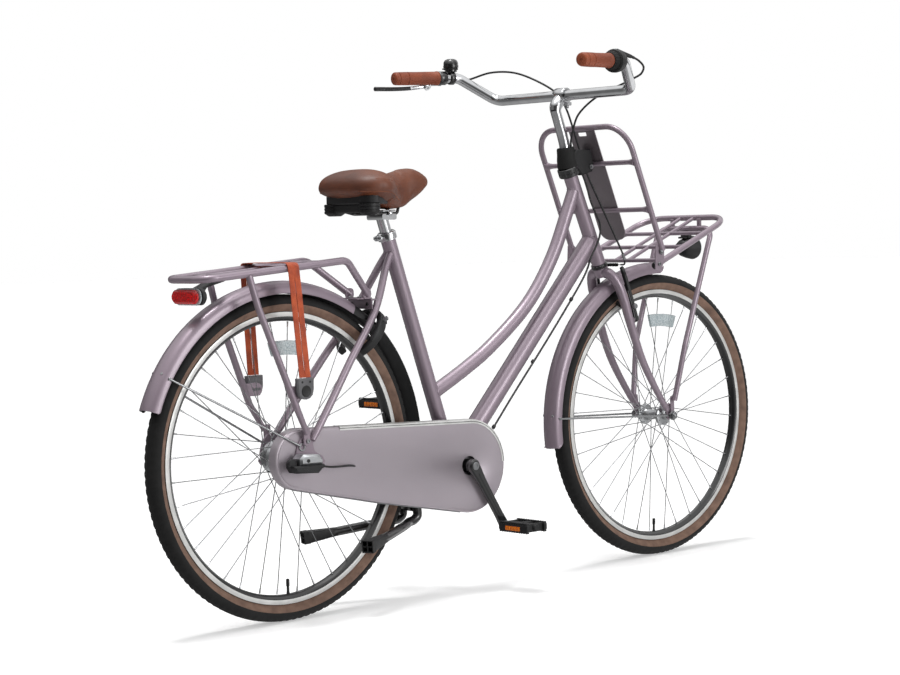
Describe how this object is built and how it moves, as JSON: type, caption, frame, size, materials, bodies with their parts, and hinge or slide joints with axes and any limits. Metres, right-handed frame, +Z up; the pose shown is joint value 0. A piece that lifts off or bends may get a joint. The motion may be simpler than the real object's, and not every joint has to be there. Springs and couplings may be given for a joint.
{
  "type": "dutch city bike",
  "caption": "Step-through city bike with front and rear carriers, closed chaincase, full fenders, ring lock, double kickstand and swept bar.",
  "frame": {"origin": "on the ground under the middle of the whole bicycle's box", "axes": "+X forward, +Y to the rider's left, +Z up"},
  "size_m": [1.9138, 0.6921, 1.2643],
  "materials": {
    "paint": "satin metallic paint",
    "chrome": "bright polished",
    "alloy": "satin",
    "steel": "zinc plated",
    "black_metal": "satin black",
    "black_plastic": "fine grained",
    "tyre": "moulded tread",
    "grip": "smooth brown",
    "saddle": "smooth brown",
    "strap": "woven elastic",
    "red_lens": "translucent red",
    "clear_lens": "clear",
    "cable": "smooth black sleeve"
  },
  "bodies": {
    "frame": {"frame": "paint", "headset_cup_lower": "black_metal", "headset_cup_upper": "black_metal", "seat_clamp": "chrome", "rear_fender": "paint", "rear_rack": "paint", "tail_light_housing": "black_plastic", "tail_light_lens": "red_lens", "rack_strap": "strap", "strap_hook_right": "black_metal", "strap_hook_left": "black_metal", "chaincase": "paint", "chain": "steel", "rear_axle": "steel", "hub_shift_box": "alloy", "torque_arm": "steel", "ring_lock": "black_plastic", "kickstand_bracket": "black_metal", "shift_cable": "cable"},
    "steering": {"fork": "paint", "stem": "alloy", "handlebar": "chrome", "grip_left": "grip", "grip_right": "grip", "brake_lever_mount": "black_metal", "bell": "black_metal", "shifter_housing": "black_plastic", "headset_cover": "black_plastic", "carrier_back": "paint", "carrier_platform": "paint", "front_fender": "paint", "headlight_housing": "black_plastic", "headlight_lens": "clear_lens", "brake_cable": "cable", "shift_cable_upper": "cable", "front_axle": "steel"},
    "front_wheel": {"front_wheel_tyre": "tyre", "front_wheel_rim": "alloy", "front_wheel_hub_and_spokes": "alloy", "front_wheel_reflector": "clear_lens"},
    "rear_wheel": {"rear_wheel_tyre": "tyre", "rear_wheel_rim": "alloy", "rear_wheel_hub_and_spokes": "alloy", "rear_wheel_reflector": "clear_lens"},
    "sprocket": {"rear_sprocket": "steel"},
    "crankset": {"crank_axle": "steel", "crank_right": "black_metal", "crank_left": "black_metal"},
    "pedal_right": {"pedal_right": "black_plastic"},
    "pedal_left": {"pedal_left": "black_plastic"},
    "kickstand": {"kickstand": "black_metal"},
    "lock_bolt": {"lock_bolt": "steel"},
    "saddle_post": {"seatpost": "chrome", "saddle_base": "black_plastic", "saddle": "saddle"},
    "brake_lever": {"brake_lever": "black_metal"},
    "brake_arm_right": {"brake_arm_right": "black_metal"},
    "brake_arm_left": {"brake_arm_left": "black_metal"},
    "twist_grip": {"twist_grip": "black_plastic"},
    "bell_lever": {"bell_lever": "steel"}
  },
  "joints": [
    {"name": "steering", "type": "hinge", "parent": "frame", "child": "steering", "pos_m": [0.414, 0, 0.737], "axis": [-0.3919, 0, 0.92], "range_deg": [-60, 60], "deforming": ["shift_cable"]},
    {"name": "front_wheel_spin", "type": "hinge", "parent": "steering", "child": "front_wheel", "pos_m": [0.602, 0, 0.356], "axis": [0, 1, 0], "continuous": true},
    {"name": "rear_wheel_spin", "type": "hinge", "parent": "frame", "child": "rear_wheel", "pos_m": [-0.594, 0, 0.356], "axis": [0, 1, 0], "continuous": true},
    {"name": "crank_spin", "type": "hinge", "parent": "frame", "child": "crankset", "pos_m": [-0.099, 0, 0.296], "axis": [0, 1, 0], "continuous": true},
    {"name": "sprocket_spin", "type": "hinge", "parent": "frame", "child": "sprocket", "pos_m": [-0.594, -0.046, 0.356], "axis": [0, 1, 0], "continuous": true},
    {"name": "pedal_right_spin", "type": "hinge", "parent": "crankset", "child": "pedal_right", "pos_m": [-0.00891, -0.139, 0.15183], "axis": [0, 1, 0], "continuous": true},
    {"name": "pedal_left_spin", "type": "hinge", "parent": "crankset", "child": "pedal_left", "pos_m": [-0.18909, 0.139, 0.44017], "axis": [0, 1, 0], "continuous": true},
    {"name": "kickstand_fold", "type": "hinge", "parent": "frame", "child": "kickstand", "pos_m": [-0.234, 0, 0.215], "axis": [0, -1, 0], "range_deg": [0, 90]},
    {"name": "lock_bolt_turn", "type": "hinge", "parent": "frame", "child": "lock_bolt", "pos_m": [-0.3636, 0, 0.6142], "axis": [0.7878, 0, -0.6159], "range_deg": [0, 80]},
    {"name": "seatpost_slide", "type": "slide", "parent": "frame", "child": "saddle_post", "axis": [-0.3177, 0, 0.9482], "range_m": [-0.02, 0.12]},
    {"name": "brake_lever_pull", "type": "hinge", "parent": "steering", "child": "brake_lever", "pos_m": [0.151, 0.331, 1.2], "axis": [0, 0.7071, 0.7071], "range_deg": [0, 5], "stiffness_Nm_per_rad": 6},
    {"name": "brake_arm_right_close", "type": "hinge", "parent": "steering", "child": "brake_arm_right", "pos_m": [0.479, -0.054, 0.606], "axis": [-0.9688, 0, -0.2479], "range_deg": [0, 2.4], "deforming": ["brake_cable"]},
    {"name": "brake_arm_left_close", "type": "hinge", "parent": "steering", "child": "brake_arm_left", "pos_m": [0.479, 0.054, 0.606], "axis": [0.9688, 0, 0.2479], "range_deg": [0, 2.4]},
    {"name": "twist_grip_turn", "type": "hinge", "parent": "steering", "child": "twist_grip", "pos_m": [0.15714, -0.29574, 1.21549], "axis": [0.9798, 0.1988, 0.0204], "range_deg": [0, 60]},
    {"name": "bell_lever_push", "type": "hinge", "parent": "steering", "child": "bell_lever", "pos_m": [0.19633, 0.28779, 1.23631], "axis": [0, 0, 1], "range_deg": [0, 20], "stiffness_Nm_per_rad": 0.2}
  ],
  "couplings": [
    {"joint": "sprocket_spin", "follows": "crank_spin", "ratio": 2.1},
    {"joint": "brake_arm_right_close", "follows": "brake_lever_pull", "ratio": 0.48},
    {"joint": "brake_arm_left_close", "follows": "brake_lever_pull", "ratio": 0.48}
  ]
}
